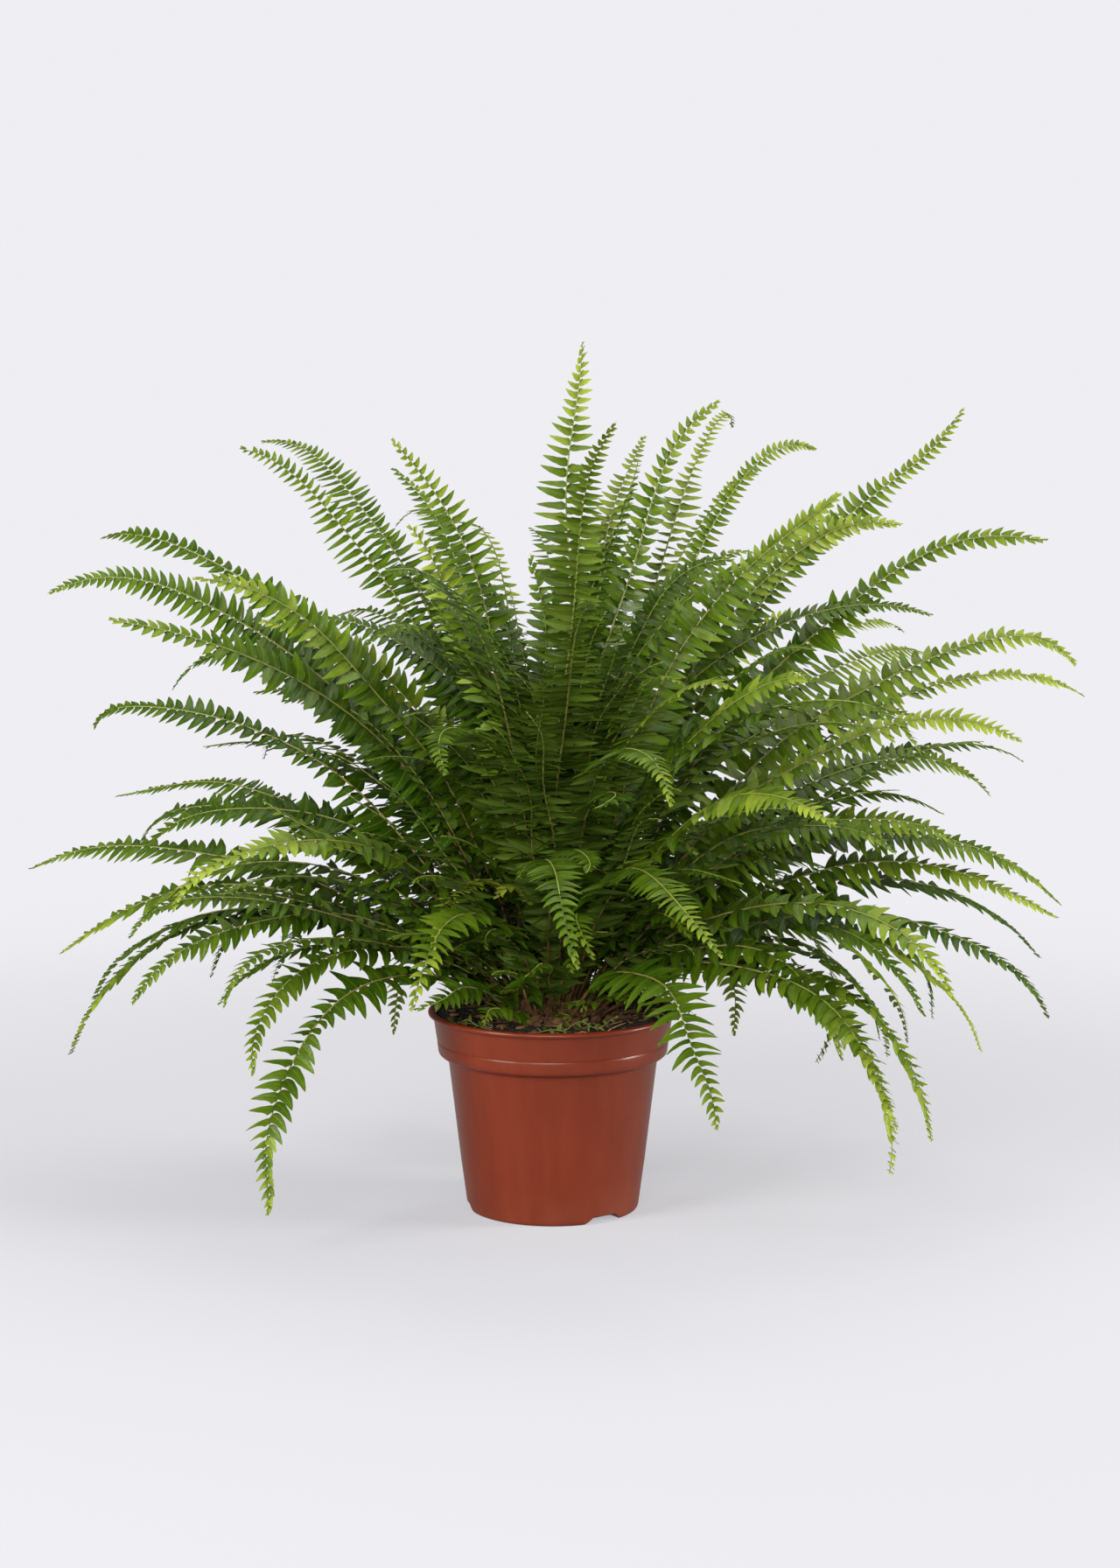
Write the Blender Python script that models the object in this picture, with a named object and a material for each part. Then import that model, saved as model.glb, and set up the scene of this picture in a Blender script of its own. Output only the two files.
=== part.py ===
# A Boston fern growing in a round nursery pot.
# Metres, +Z up. The origin is the middle of the pot's underside, on the floor,
# and -Y is the front of the plant.

import itertools
import math

import bmesh
import bpy
from mathutils import Matrix, Vector
from mathutils.bvhtree import BVHTree

# Pot
POT_HEIGHT = 0.170
RIM_RADIUS = 0.105          # outside of the rolled lip
LIP_WIDTH = 0.0045          # how far the lip stands out from the collar
LIP_HEIGHT = 0.0042
COLLAR_HEIGHT = 0.036
COLLAR_TAPER = 0.004        # the collar narrows by this much on its way down
COLLAR_STEP = 0.0085        # how far the wall steps in under the collar
STEP_HEIGHT = 0.005
BASE_RADIUS = 0.0725
BASE_EDGE = 0.0025          # rounding between the wall and the underside
WALL = 0.0015
FLOOR_THICKNESS = 0.0020
POT_SEGMENTS = 60
SHARP_ANGLE = math.radians(35)

# Drainage notches, cut into the bottom edge and roofed over inside the pot
NOTCH_COUNT = 3
FIRST_NOTCH_ANGLE = -53.0   # degrees from +X
NOTCH_WIDTH = 0.038         # at the floor
NOTCH_ROOF_WIDTH = 0.022
NOTCH_HEIGHT = 0.0065
NOTCH_DEPTH = 0.018         # how far it reaches in from the base's edge
DRAIN_HOLE_RADIUS = 0.0045
DRAIN_HOLE_SIDES = 12

# Soil and crown
SOIL_BELOW_RIM = 0.013      # at the wall
SOIL_MOUND = 0.006          # rise of the soil from the wall to the middle
SOIL_RINGS = 3              # between the crown and the wall
CROWN_RADIUS = 0.046
CROWN_HEIGHT = 0.028
CROWN_RINGS = 6
RUNNER_ANGLE = -28.0        # degrees from +X
RUNNER_RADIUS = 0.0028
RUNNER_POINTS = 6
RUNNER_BEND = 14.0          # degrees that its middle strays from a straight line
RUNNER_CLEARANCE = 0.0004   # under the runner, for the slope of the soil
RUNNER_WALL_GAP = 0.004     # room between the runner's end and the pot

# Fronds
BLADE_WIDTH = 0.062         # across the leaflets of a full-grown frond
GROWN_LENGTH = 0.46         # shorter fronds than this have narrower blades
SEEDLING_WIDTH = 0.35       # share of the full width that the shortest fronds have
STIPE_RADIUS = 0.0017       # half the thickness of the bare stalk
TIP_HALF_WIDTH = 0.0009
BLADE_HALF_THICKNESS = 0.0005
STATIONS = 15               # cross-sections along each frond
STEPS_BETWEEN = 4           # steps along the stalk from one section to the next

# Shares of a frond's length
BLADE_FOOT = 0.05           # where the lowest leaflets grow
BLADE_SHOULDER = 0.36       # where the blade has reached its full width
STALK_FLAT = 0.45           # where the stalk is no thicker than the blade
ROLL_DONE = 0.40            # where the blade has rolled to its own slope
TIP_TAPER = 4               # power of the share: larger keeps the blade wide for longer
SWAY_CURVE = 1.5            # power of the share: the sway grows towards the tip

# Fits
GAP = 0.0003                # between pieces that touch
FROND_GAP = 0.0008          # least room between one blade and the next
FLOOR_ROOM = 0.012          # least height of a drooping tip

# How crowded fronds give way to each other
PUSH = 0.0008               # distance moved at the crossing in one step
EVENING = 0.04              # share of the difference in roll taken up in one step
LIFT_STEP = math.radians(0.5)
MOST_STEPS = 400

# Every row is one frond: heading from +X, rise at the crown, arch over its length,
# length, sway to its left, and roll of the blade about the stalk. Angles in degrees.
UPRIGHT_DROOP = 2.0
UPRIGHT = [
    (80, 84, 8, 0.54, 0, 8),
    (285, 82, 34, 0.51, 8, -18),
    (24, 85, 32, 0.52, -4, 72),
    (30, 77, 45, 0.55, 5, 55),
    (330, 78, 50, 0.51, -8, -62),
    (104, 75, 45, 0.47, 10, 5),
    (184, 85, 26, 0.48, -8, -88),
    (226, 82, 44, 0.43, 0, 58),
    (162, 76, 49, 0.54, 3, -62),
    (133, 71, 48, 0.59, 4, -32),
    (112, 66, 55, 0.56, -5, -12),
    (54, 73, 50, 0.61, 8, 22),
    (66, 64, 55, 0.62, -10, 14),
    (350, 79, 48, 0.51, 6, 94),
]
ARCHING_DROOP = 1.7
ARCHING = [
    (199, 75, 58, 0.48, 4, -60),
    (155, 63, 60, 0.61, -6, -42),
    (180, 66, 65, 0.56, 5, -52),
    (204, 67, 71, 0.50, -6, -48),
    (168, 57, 76, 0.49, -8, -32),
    (17, 70, 50, 0.61, 8, 48),
    (48, 70, 55, 0.52, -8, 32),
    (358, 68, 60, 0.58, -6, 55),
    (47, 54, 65, 0.58, 6, 22),
    (4, 60, 70, 0.55, 5, 42),
    (22, 52, 65, 0.56, -8, 30),
    (343, 60, 76, 0.47, 6, 45),
    (311, 60, 85, 0.42, -8, 28),
    (316, 74, 60, 0.40, 8, 38),
    (297, 73, 72, 0.42, 5, 14),
    (272, 74, 68, 0.51, 10, 4),
    (250, 78, 66, 0.50, -6, -24),
]
SPREADING_DROOP = 1.4
SPREADING = [
    (156, 32, 50, 0.48, 6, -20),
    (219, 58, 98, 0.41, -8, -28),
    (153, 45, 75, 0.46, -6, -20),
    (141, 43, 66, 0.49, 8, -22),
    (169, 37, 85, 0.44, -8, -18),
    (181, 38, 112, 0.44, -10, -14),
    (195, 43, 98, 0.36, 8, -34),
    (3, 43, 80, 0.43, -8, 26),
    (332, 47, 100, 0.38, 6, 28),
    (285, 57, 100, 0.40, 10, 16),
    (267, 56, 95, 0.43, 8, 6),
    (246, 56, 115, 0.31, 5, -18),
    (76, 46, 85, 0.46, -8, 10),
    (103, 50, 85, 0.47, 8, -8),
    (90, 60, 80, 0.45, -5, 12),
]
HANGING_DROOP = 1.1
HANGING = [
    (213, 38, 150, 0.37, 8, -22),
    (205, 48, 120, 0.31, -6, -30),
    (16, 38, 105, 0.42, 6, 18),
    (327, 40, 116, 0.35, 8, 22),
    (357, 36, 125, 0.37, -6, 18),
    (345, 36, 138, 0.36, 5, 20),
    (31, 36, 106, 0.42, 8, 14),
    (299, 44, 120, 0.30, -8, 18),
    (60, 38, 118, 0.40, 6, 0),
    (118, 38, 118, 0.39, -6, -8),
]


def material(name, colour, roughness):
    mat = bpy.data.materials.new(name)
    mat.use_nodes = True
    shader = mat.node_tree.nodes["Principled BSDF"]
    shader.inputs["Base Color"].default_value = (*colour, 1.0)
    shader.inputs["Roughness"].default_value = roughness
    shader.inputs["Metallic"].default_value = 0.0
    return mat


def make_object(name, bm, mat):
    bmesh.ops.recalc_face_normals(bm, faces=bm.faces)
    mesh = bpy.data.meshes.new(name)
    bm.to_mesh(mesh)
    bm.free()
    obj = bpy.data.objects.new(name, mesh)
    bpy.context.scene.collection.objects.link(obj)
    if mat:
        mesh.materials.append(mat)
        mesh.shade_smooth()
        mesh.set_sharp_from_angle(angle=SHARP_ANGLE)
    return obj


def make_cutter(name, bm):
    cutter = make_object(name, bm, None)
    cutter.hide_render = True
    cutter.display_type = "WIRE"
    return cutter


def subtract(obj, cutter):
    cut = obj.modifiers.new(cutter.name, "BOOLEAN")
    cut.operation = "DIFFERENCE"
    cut.object = cutter


def turned(profile):
    # Spins (radius, height) points, which start and end on the axis, into a closed solid.
    bm = bmesh.new()
    points = [bm.verts.new((radius, 0.0, height)) for radius, height in profile]
    edges = [bm.edges.new(pair) for pair in zip(points, points[1:])]
    bmesh.ops.spin(
        bm,
        geom=points + edges,
        cent=(0.0, 0.0, 0.0),
        axis=(0.0, 0.0, 1.0),
        angle=math.tau,
        steps=POT_SEGMENTS,
        use_merge=True,
    )
    bmesh.ops.remove_doubles(bm, verts=bm.verts, dist=1e-6)
    return bm


def wall_profile(inset, floor):
    # The pot's side from under the lip to the floor, moved inwards by inset.
    collar_top = RIM_RADIUS - LIP_WIDTH
    collar_foot = collar_top - COLLAR_TAPER
    collar_end = POT_HEIGHT - COLLAR_HEIGHT
    wall_top = collar_foot - COLLAR_STEP
    return [
        (collar_top - inset, POT_HEIGHT - LIP_HEIGHT),
        (collar_foot - inset, collar_end),
        (wall_top + COLLAR_STEP / 4 - inset, collar_end - STEP_HEIGHT / 2),
        (wall_top - inset, collar_end - STEP_HEIGHT),
        (BASE_RADIUS - inset, floor + BASE_EDGE),
        (BASE_RADIUS - BASE_EDGE - inset, floor),
    ]


def soil_top(radius):
    # Height of the soil: level around the crown, then falling gently to the wall.
    level = CROWN_RADIUS + GAP
    wall = RIM_RADIUS - LIP_WIDTH - WALL
    fall = min(max((radius - level) / (wall - level), 0.0), 1.0)
    return POT_HEIGHT - SOIL_BELOW_RIM + SOIL_MOUND * math.cos(fall * math.pi / 2)


def notch_wedge(angle, grow):
    # A block with sloping ends on the pot's bottom edge, grown all round by grow.
    depth = NOTCH_DEPTH + grow
    height = NOTCH_HEIGHT + grow
    outside = BASE_RADIUS + NOTCH_DEPTH
    bm = bmesh.new()
    bmesh.ops.create_cube(bm, size=1.0)
    for vert in bm.verts:
        at_roof = vert.co.z > 0
        width = (NOTCH_ROOF_WIDTH if at_roof else NOTCH_WIDTH) + 2 * grow
        vert.co.y *= width
        vert.co.x = BASE_RADIUS - depth if vert.co.x < 0 else outside
        vert.co.z = height if at_roof else -height
    # Below the floor the ends keep the slope that they have above it.
    for vert in bm.verts:
        if vert.co.z < 0:
            vert.co.y += math.copysign((NOTCH_WIDTH - NOTCH_ROOF_WIDTH) / 2, vert.co.y)
    bmesh.ops.rotate(bm, verts=bm.verts, matrix=Matrix.Rotation(math.radians(angle), 3, "Z"))
    return bm


def notch_angles():
    return [FIRST_NOTCH_ANGLE + 360.0 / NOTCH_COUNT * i for i in range(NOTCH_COUNT)]


def build_pot(mat):
    lip_top = POT_HEIGHT
    outside = [(0.0, lip_top), (RIM_RADIUS - LIP_WIDTH / 3, lip_top)]
    outside += [(RIM_RADIUS, lip_top - LIP_HEIGHT / 3), (RIM_RADIUS, lip_top - LIP_HEIGHT)]
    outside += wall_profile(0.0, 0.0) + [(0.0, 0.0)]
    pot = make_object("pot", turned(outside), mat)

    inside = wall_profile(WALL, FLOOR_THICKNESS)
    mouth = inside[0][0]
    inside = [(0.0, lip_top + LIP_HEIGHT), (mouth, lip_top + LIP_HEIGHT)] + inside
    inside.append((0.0, FLOOR_THICKNESS))
    cavity = make_cutter("cavity_cutter", turned(inside))
    for number, angle in enumerate(notch_angles(), start=1):
        roof = make_cutter(f"notch_roof_{number}", notch_wedge(angle, WALL))
        subtract(cavity, roof)
    subtract(pot, cavity)

    for number, angle in enumerate(notch_angles(), start=1):
        subtract(pot, make_cutter(f"notch_cutter_{number}", notch_wedge(angle, 0.0)))
        hole = bmesh.new()
        bmesh.ops.create_cone(
            hole,
            cap_ends=True,
            segments=DRAIN_HOLE_SIDES,
            radius1=DRAIN_HOLE_RADIUS,
            radius2=DRAIN_HOLE_RADIUS,
            depth=NOTCH_HEIGHT,
        )
        turn = Matrix.Rotation(math.radians(angle), 4, "Z")
        middle = Vector((BASE_RADIUS - NOTCH_DEPTH / 2, 0.0, NOTCH_HEIGHT))
        bmesh.ops.transform(hole, verts=hole.verts, matrix=turn @ Matrix.Translation(middle))
        subtract(pot, make_cutter(f"drain_hole_{number}", hole))
    return pot


def build_soil(mat):
    fill = wall_profile(WALL + GAP, FLOOR_THICKNESS + GAP)
    top_radius = fill[0][0]
    level = CROWN_RADIUS + GAP
    rings = [level + (top_radius - level) * i / SOIL_RINGS for i in range(SOIL_RINGS)]
    profile = [(0.0, soil_top(0.0))] + [(radius, soil_top(radius)) for radius in rings]
    profile += [(collar_side_radius(soil_top(top_radius)), soil_top(top_radius))]
    profile += fill[1:] + [(0.0, FLOOR_THICKNESS + GAP)]
    soil = make_object("soil", turned(profile), mat)
    for number, angle in enumerate(notch_angles(), start=1):
        subtract(soil, make_cutter(f"soil_notch_{number}", notch_wedge(angle, WALL + GAP)))
    return soil


def collar_side_radius(height):
    # Inner radius of the collar at a height, less the gap that the soil keeps to it.
    top, foot = wall_profile(WALL + GAP, 0.0)[:2]
    share = (height - foot[1]) / (top[1] - foot[1])
    return foot[0] + (top[0] - foot[0]) * share


def build_crown(mat):
    # The rhizome clump that every stalk grows from: a flattened dome on the soil.
    foot = soil_top(0.0) + GAP
    profile = []
    for ring in range(CROWN_RINGS + 1):
        angle = math.pi / 2 * (1 - ring / CROWN_RINGS)
        profile.append((CROWN_RADIUS * math.cos(angle), foot + CROWN_HEIGHT * math.sin(angle)))
    profile[0] = (0.0, foot + CROWN_HEIGHT)
    profile.append((0.0, foot))
    return make_object("crown", turned(profile), mat)


def build_runner(mat):
    # A creeping stem that lies on the soil from the crown to just short of the wall.
    start = CROWN_RADIUS + RUNNER_RADIUS + 2 * GAP
    end = collar_side_radius(soil_top(RIM_RADIUS)) - RUNNER_WALL_GAP
    curve = bpy.data.curves.new("runner", "CURVE")
    curve.dimensions = "3D"
    curve.bevel_depth = RUNNER_RADIUS
    curve.bevel_resolution = 1
    curve.use_fill_caps = True
    spline = curve.splines.new("POLY")
    spline.points.add(RUNNER_POINTS - 1)
    for i, point in enumerate(spline.points):
        share = i / (RUNNER_POINTS - 1)
        radius = start + (end - start) * share
        angle = math.radians(RUNNER_ANGLE + RUNNER_BEND * math.sin(share * math.pi))
        height = soil_top(radius) + RUNNER_RADIUS + RUNNER_CLEARANCE + GAP
        point.co = (radius * math.cos(angle), radius * math.sin(angle), height, 1.0)
    curve.materials.append(mat)
    obj = bpy.data.objects.new("runner", curve)
    bpy.context.scene.collection.objects.link(obj)
    return obj


def ease(low, high, value):
    share = min(max((value - low) / (high - low), 0.0), 1.0)
    return share * share * (3 - 2 * share)


def crown_point(heading, rise):
    # Where the crown's surface faces along the stalk, and the direction that it faces.
    across = CROWN_RADIUS * math.cos(rise)
    upward = CROWN_HEIGHT * math.sin(rise)
    scale = math.hypot(across, upward)
    radius = CROWN_RADIUS * across / scale
    height = soil_top(0.0) + GAP + CROWN_HEIGHT * upward / scale
    facing = Vector(direction(heading, rise))
    start = Vector((radius * math.cos(heading), radius * math.sin(heading), height))
    return start + facing * GAP, facing


def direction(heading, elevation):
    flat = math.cos(elevation)
    return Vector((flat * math.cos(heading), flat * math.sin(heading), math.sin(elevation)))


class Frond:
    def __init__(self, name, droop, row):
        heading, rise, arch, length, sway, roll = row
        self.name = name
        self.droop = droop
        self.length = length
        self.heading = math.radians(heading)
        self.rise = math.radians(rise)
        self.arch = math.radians(arch)
        self.sway = math.radians(sway)
        self.roll = math.radians(roll)

    def half_width(self, share):
        grown = SEEDLING_WIDTH + (1 - SEEDLING_WIDTH) * self.length / GROWN_LENGTH
        widest = BLADE_WIDTH / 2 * min(1.0, grown)
        blade = widest * ease(BLADE_FOOT, BLADE_SHOULDER, share) * (1 - share ** TIP_TAPER)
        stalk = STIPE_RADIUS + (TIP_HALF_WIDTH - STIPE_RADIUS) * share
        return max(blade, stalk)

    def half_thickness(self, share):
        thin = ease(0.0, STALK_FLAT, share)
        return STIPE_RADIUS + (BLADE_HALF_THICKNESS - STIPE_RADIUS) * thin

    def sections(self, extra=0.0):
        # Each section is four corners: left edge, top ridge, right edge, bottom ridge.
        place, along = crown_point(self.heading, self.rise)
        steps = (STATIONS - 1) * STEPS_BETWEEN
        rings = []
        for step in range(steps + 1):
            share = step / steps
            heading = self.heading + self.sway * share ** SWAY_CURVE
            elevation = self.rise - self.arch * share ** self.droop
            along = direction(heading, elevation)
            if step % STEPS_BETWEEN == 0:
                level = Vector((-math.sin(heading), math.cos(heading), 0.0))
                upper = along.cross(level)
                roll = self.roll * ease(0.0, ROLL_DONE, share)
                side = level * math.cos(roll) + upper * math.sin(roll)
                face = upper * math.cos(roll) - level * math.sin(roll)
                wide = side * (self.half_width(share) + extra)
                thick = face * (self.half_thickness(share) + extra)
                rings.append([place + wide, place + thick, place - wide, place - thick])
            place = place + along * (self.length / steps)
        return rings

    def shape(self, extra=0.0):
        # Extrudes the end face from one section to the next, then closes the base.
        # Each side face is split from the blade's edge to the next ridge, so that a
        # twisted blade keeps its thickness between sections.
        rings = self.sections(extra)
        bm = bmesh.new()
        end = bm.faces.new([bm.verts.new(corner) for corner in rings[0]])
        for ring in rings[1:]:
            start = list(end.verts)
            end = bmesh.ops.extrude_discrete_faces(bm, faces=[end])["faces"][0]
            for vert, corner in zip(end.verts, ring):
                vert.co = corner
            for edge, ridge in itertools.product((0, 2), (1, 3)):
                bmesh.ops.connect_vert_pair(bm, verts=[start[edge], end.verts[ridge]])
        bmesh.ops.holes_fill(bm, edges=[edge for edge in bm.edges if edge.is_boundary])
        return bm

    def tree(self, extra=0.0):
        bm = self.shape(extra)
        tree = BVHTree.FromBMesh(bm)
        bm.free()
        return tree

    def middle_line(self):
        return [(ring[0] + ring[2]) / 2 for ring in self.sections()]

    def lowest(self):
        return min(corner.z for ring in self.sections() for corner in ring)


def closest_points(one, other):
    # The points of two middle lines where the fronds pass closest.
    pairs = ((a, b) for a in one.middle_line()[1:] for b in other.middle_line()[1:])
    return min(pairs, key=lambda pair: (pair[0] - pair[1]).length)


def push(frond, point, towards):
    # Swings a frond about the crown so that a point on it moves a little in a direction.
    level = Vector((-math.sin(frond.heading), math.cos(frond.heading), 0.0))
    arm = point - Vector((0.0, 0.0, soil_top(0.0)))
    upper = arm.normalized().cross(level)
    reach = max(arm.to_2d().length, CROWN_RADIUS)
    frond.heading += PUSH * towards.dot(level) / reach
    frond.rise += PUSH * towards.dot(upper) / arm.length


def even_out(one, other):
    # Rolls two blades a little towards the same slope. A half turn is the same slope.
    half_turn = math.pi
    apart = (other.roll - one.roll + half_turn / 2) % half_turn - half_turn / 2
    one.roll += EVENING * apart
    other.roll -= EVENING * apart


def settle(fronds, solids):
    # Turns, lifts and rolls fronds in small steps until none touches another or the pot.
    for _ in range(MOST_STEPS):
        trees = [frond.tree(FROND_GAP / 2) for frond in fronds]
        clear = True
        for one, tree in zip(fronds, trees):
            if one.lowest() < FLOOR_ROOM:
                one.arch -= LIFT_STEP
                clear = False
            if any(tree.overlap(solid) for solid in solids):
                one.rise += LIFT_STEP
                clear = False
        for i, j in itertools.combinations(range(len(fronds)), 2):
            if not trees[i].overlap(trees[j]):
                continue
            clear = False
            here, there = closest_points(fronds[i], fronds[j])
            apart = (here - there).normalized()
            push(fronds[i], here, apart)
            push(fronds[j], there, -apart)
            even_out(fronds[i], fronds[j])
        if clear:
            return


def list_fronds():
    tiers = [
        ("upright", UPRIGHT_DROOP, UPRIGHT),
        ("arching", ARCHING_DROOP, ARCHING),
        ("spreading", SPREADING_DROOP, SPREADING),
        ("hanging", HANGING_DROOP, HANGING),
    ]
    fronds = []
    for tier, droop, rows in tiers:
        for number, row in enumerate(rows, start=1):
            fronds.append(Frond(f"{tier}_frond_{number:02d}", droop, row))
    return fronds


def solid_tree(obj):
    depsgraph = bpy.context.evaluated_depsgraph_get()
    return BVHTree.FromObject(obj, depsgraph)


def main():
    for obj in list(bpy.data.objects):
        bpy.data.objects.remove(obj, do_unlink=True)
    plastic = material("terracotta_plastic", (0.30, 0.062, 0.028), 0.45)
    peat = material("peat", (0.022, 0.014, 0.008), 0.95)
    rhizome = material("rhizome", (0.10, 0.055, 0.025), 0.85)
    leaf = material("frond_green", (0.11, 0.19, 0.035), 0.55)
    pot = build_pot(plastic)
    soil = build_soil(peat)
    build_crown(rhizome)
    runner = build_runner(rhizome)
    fronds = list_fronds()
    settle(fronds, [solid_tree(pot), solid_tree(soil), solid_tree(runner)])
    for frond in fronds:
        make_object(frond.name, frond.shape(), leaf)


if __name__ == "__main__":
    main()
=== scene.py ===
# The look of a potted Boston fern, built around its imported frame.
# Metres, +Z up, the front of the plant towards -Y.

import math
import random

import bmesh
import bpy
from mathutils import Matrix, Vector, noise


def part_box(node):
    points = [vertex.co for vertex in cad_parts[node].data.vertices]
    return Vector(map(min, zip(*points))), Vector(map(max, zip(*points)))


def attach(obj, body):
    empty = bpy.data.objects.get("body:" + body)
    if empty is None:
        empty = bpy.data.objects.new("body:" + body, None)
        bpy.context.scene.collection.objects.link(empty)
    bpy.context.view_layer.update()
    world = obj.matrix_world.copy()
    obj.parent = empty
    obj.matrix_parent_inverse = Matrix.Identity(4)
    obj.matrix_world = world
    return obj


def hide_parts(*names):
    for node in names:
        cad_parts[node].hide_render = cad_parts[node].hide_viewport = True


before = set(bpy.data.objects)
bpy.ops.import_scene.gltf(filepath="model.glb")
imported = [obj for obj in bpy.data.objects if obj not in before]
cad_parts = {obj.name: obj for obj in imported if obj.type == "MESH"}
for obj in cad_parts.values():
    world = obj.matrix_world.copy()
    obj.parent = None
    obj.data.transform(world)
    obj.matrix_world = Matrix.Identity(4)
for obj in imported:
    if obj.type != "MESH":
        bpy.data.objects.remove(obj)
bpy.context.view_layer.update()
scene = bpy.context.scene
worldUp = Vector((0.0, 0.0, 1.0))
noise.seed_set(3)  # otherwise its vectors differ on every run

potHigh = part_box("pot")[1]
crownLow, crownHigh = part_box("crown")
crownFoot = Vector((0.0, 0.0, crownLow.z))
print("frame loaded:", len(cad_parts), "nodes")


def addObject(name, data):
    item = bpy.data.objects.new(name, data)
    scene.collection.objects.link(item)
    return item


def toMesh(name, bm):
    mesh = bpy.data.meshes.new(name)
    bm.to_mesh(mesh)
    bm.free()
    return mesh


def newPiece(name, bm, materials, slot, replaced=(), **values):
    # each of the values is a list with one number for each point
    mesh = toMesh(name, bm)
    for material in materials:
        mesh.materials.append(material)
    mesh.shade_smooth()
    for key, numbers in values.items():
        mesh.attributes.new(key, "FLOAT", "POINT").data.foreach_set("value", numbers)
    piece = addObject(name, mesh)
    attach(piece, "root")
    if replaced:
        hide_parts(*replaced)
    return piece


def ease(low, high, value):
    share = min(max((value - low) / (high - low), 0.0), 1.0)
    return share * share * (3.0 - 2.0 * share)


def mix(a, b, share):
    return a + (b - a) * share


def squared(vector, axis):
    # the part of a vector at right angles to an axis, one unit long
    return (vector - axis * vector.dot(axis)).normalized()


def spinProfile(profile, steps):
    # (radius, height) points that start and end on the axis become a closed turned solid
    bm = bmesh.new()
    points = [bm.verts.new((radius, 0.0, height)) for radius, height in profile]
    edges = [bm.edges.new(pair) for pair in zip(points, points[1:])]
    bmesh.ops.spin(
        bm, geom=points + edges, cent=(0, 0, 0), axis=(0, 0, 1), angle=math.tau,
        steps=steps, use_merge=True,
    )
    bmesh.ops.remove_doubles(bm, verts=bm.verts, dist=1e-6)
    bmesh.ops.recalc_face_normals(bm, faces=bm.faces)
    return bm


def addTube(bm, points, radii, sides=6):
    # extrudes a ring along the points, closes both ends and returns how many points it has
    tangents = []
    for i in range(len(points)):
        tangents.append((points[min(i + 1, len(points) - 1)] - points[max(i - 1, 0)]).normalized())
    across = tangents[0].orthogonal().normalized()
    end = None
    firstVert, firstFace = len(bm.verts), len(bm.faces)
    for point, tangent, radius in zip(points, tangents, radii):
        across = squared(across, tangent)
        up = tangent.cross(across)
        turns = [math.tau * k / sides for k in range(sides)]
        ring = [point + (across * math.cos(a) + up * math.sin(a)) * radius for a in turns]
        if end is None:
            end = bm.faces.new([bm.verts.new(co) for co in ring])
            continue
        end = bmesh.ops.extrude_discrete_faces(bm, faces=[end])["faces"][0]
        for vert, co in zip(end.verts, ring):
            vert.co = co
    bm.faces.ensure_lookup_table()
    rims = [edge for face in bm.faces[firstFace:] for edge in face.edges if edge.is_boundary]
    bmesh.ops.holes_fill(bm, edges=list(dict.fromkeys(rims)))
    bm.faces.ensure_lookup_table()
    bmesh.ops.recalc_face_normals(bm, faces=bm.faces[firstFace:])
    return len(bm.verts) - firstVert


def pour(bm, mesh):
    # moves a mesh into bm and returns how many points it has
    bm.from_mesh(mesh)
    count = len(mesh.vertices)
    bpy.data.meshes.remove(mesh)
    return count


def addCopy(bm, mesh, matrix):
    placed = mesh.copy()
    placed.transform(matrix)
    return pour(bm, placed)


class Wiring:
    # The nodes of a material, a group or a world, and short ways to add to them.

    def __init__(self, tree):
        self.nodes, self.links = tree.nodes, tree.links

    def add(self, kind, **settings):
        node = self.nodes.new(kind)
        for key, value in settings.items():
            setattr(node, key, value)
        return node

    def feed(self, socket, value):
        # value is a number, a colour of three numbers, or the output of a node
        if isinstance(value, bpy.types.NodeSocket):
            self.links.new(value, socket)
        elif socket.type == "RGBA":
            socket.default_value = (*value, 1.0)
        else:
            socket.default_value = value

    def skin(self, name, value):
        # one of the Principled BSDF's own sockets
        self.feed(self.nodes["Principled BSDF"].inputs[name], value)

    def calc(self, operation, *values, clamp=False):
        node = self.add("ShaderNodeMath", operation=operation, use_clamp=clamp)
        for socket, value in zip(node.inputs, values):
            self.feed(socket, value)
        return node.outputs[0]

    def times(self, value, factor, offset=0.0, clamp=False):
        return self.calc("MULTIPLY_ADD", value, factor, offset, clamp=clamp)

    def blend(self, factor, first, second, kind="MIX"):
        node = self.add("ShaderNodeMix", data_type="RGBA", blend_type=kind)
        for number, value in ((0, factor), (6, first), (7, second)):
            self.feed(node.inputs[number], value)
        return node.outputs[2]

    def noise(self, place, scale, detail=3.0, roughness=0.55):
        node = self.add("ShaderNodeTexNoise")
        given = {"Vector": place, "Scale": scale, "Detail": detail, "Roughness": roughness}
        for name, value in given.items():
            self.feed(node.inputs[name], value)
        return node.outputs["Fac"]

    def place(self):
        return self.add("ShaderNodeTexCoord").outputs["Object"]

    def onPoint(self, name):
        # a number kept on each point of the mesh
        return self.add("ShaderNodeAttribute", attribute_name=name).outputs["Fac"]

    def bump(self, height, strength, distance):
        node = self.add("ShaderNodeBump")
        for name, value in {"Strength": strength, "Distance": distance, "Height": height}.items():
            self.feed(node.inputs[name], value)
        self.skin("Normal", node.outputs[0])

    def twoShaders(self, factor, first, second):
        both = self.add("ShaderNodeMixShader")
        for socket, value in zip(both.inputs, (factor, first.outputs[0], second.outputs[0])):
            self.feed(socket, value)
        self.feed(self.nodes["Material Output"].inputs["Surface"], both.outputs[0])


def newMaterial(name, roughness, specular=0.5):
    material = bpy.data.materials.new(name)
    material.use_nodes = True
    wires = Wiring(material.node_tree)
    wires.skin("Roughness", roughness)
    wires.skin("Specular IOR Level", specular)
    return material, wires


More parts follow.
